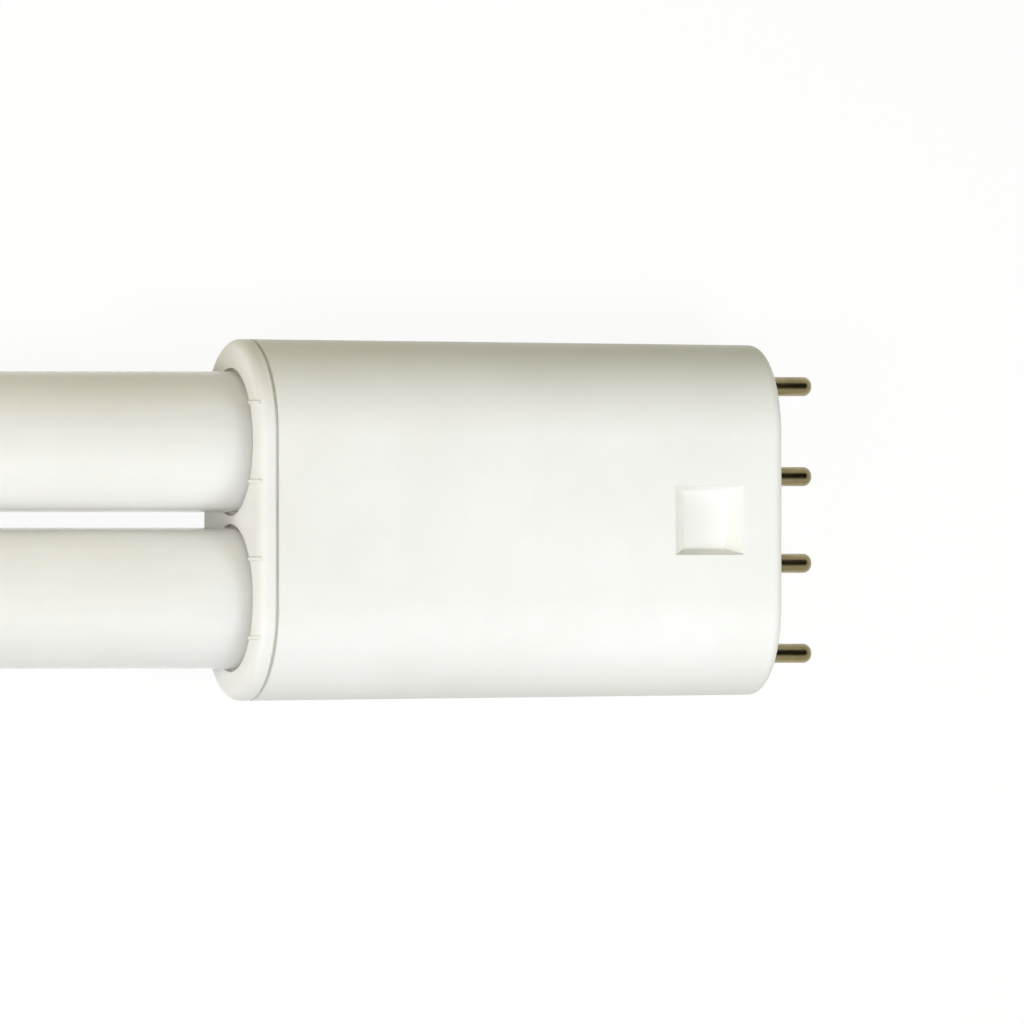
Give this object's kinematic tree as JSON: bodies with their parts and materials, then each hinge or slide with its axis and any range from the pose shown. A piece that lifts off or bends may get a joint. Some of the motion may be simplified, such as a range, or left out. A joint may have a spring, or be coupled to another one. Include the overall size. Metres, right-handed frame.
{
  "type": "twin-tube plug-in lamp",
  "caption": "Twin-tube plug-in lamp: opal glass limbs joined near the tips, held in a flat moulded cap with a row of contact pins and latch recesses.",
  "frame": {"origin": "middle of the cap's end face, which seats against the lampholder", "axes": "+X along the lamp from the glass to the pins, Y along the row of pins, +Z out of the wide face that the picture shows"},
  "size_m": [0.2241, 0.044, 0.023],
  "materials": {
    "opal_glass": "clear glass with a matt white coating inside, so opaque, glossy",
    "moulded_plastic": "white injection moulded polyester, satin",
    "plated_brass": "nickel plated brass, drawn and polished, slightly yellow",
    "capping_cement": "pale fired capping cement, matt and grainy",
    "nickel_wire": "drawn nickel wire"
  },
  "bodies": {
    "root": {"glass_envelope": "opal_glass", "base_housing": "moulded_plastic", "tube_collar": "moulded_plastic", "socket_cement_1": "capping_cement", "socket_cement_2": "capping_cement", "contact_pin_1": "plated_brass", "contact_pin_2": "plated_brass", "contact_pin_3": "plated_brass", "contact_pin_4": "plated_brass", "lead_wire_1": "nickel_wire", "lead_wire_2": "nickel_wire", "lead_wire_3": "nickel_wire", "lead_wire_4": "nickel_wire"}
  },
  "joints": []
}
